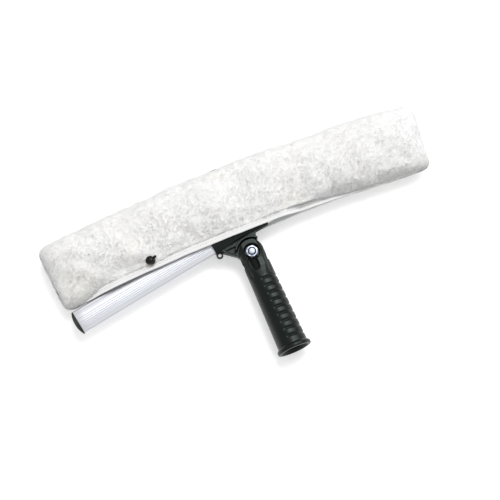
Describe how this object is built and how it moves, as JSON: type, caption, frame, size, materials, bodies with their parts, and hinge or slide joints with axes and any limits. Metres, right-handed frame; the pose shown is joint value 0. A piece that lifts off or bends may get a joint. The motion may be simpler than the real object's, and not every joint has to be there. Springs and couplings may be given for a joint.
{
  "type": "window scrubber",
  "caption": "Strip washer for windows: a plush sleeve drawn over a hollow T-bar that swivels on a short ribbed pole handle.",
  "frame": {"origin": "on the pole socket's axis, where its straight wall starts behind the flared lip", "axes": "-Y is the way a pole leaves the socket, +X runs roughly along the bar, +Z is the side that faces up when the tool lies flat, with the nut and the press stud's cap"},
  "size_m": [0.4703, 0.2331, 0.0404],
  "materials": {
    "black_plastic": "satin moulded nylon",
    "zinc_steel": "bright zinc plate",
    "brass": "plain",
    "nylon": "natural",
    "bar_aluminium": "satin anodised extrusion",
    "cap_plastic": "satin",
    "rivet_aluminium": "plain",
    "white_plush": "short dense pile",
    "hem_tape": "woven tape",
    "snap_metal": "dark nickel"
  },
  "bodies": {
    "handle": {"handle_grip": "black_plastic", "pivot_bolt": "zinc_steel", "pivot_nut": "zinc_steel", "pivot_bush": "brass", "friction_washer_front": "nylon", "friction_washer_back": "nylon"},
    "t_bar": {"pivot_bracket": "black_plastic", "bar_profile": "bar_aluminium", "end_cap_left": "cap_plastic", "end_cap_right": "cap_plastic", "bracket_rivets": "rivet_aluminium"},
    "sleeve": {"sleeve_fleece": "white_plush", "hem_tape_front": "hem_tape", "hem_tape_back": "hem_tape", "snap_cap": "snap_metal", "snap_socket": "brass", "snap_stud": "brass", "snap_post": "snap_metal"}
  },
  "joints": [
    {"name": "head_swivel", "type": "hinge", "parent": "handle", "child": "t_bar", "pos_m": [0, 0.1185, 0], "axis": [0, 0, 1], "range_deg": [-68, 51]},
    {"name": "sleeve_pull", "type": "slide", "parent": "t_bar", "child": "sleeve", "axis": [0.989, 0.1478, 0], "range_m": [0, 0.45]}
  ]
}
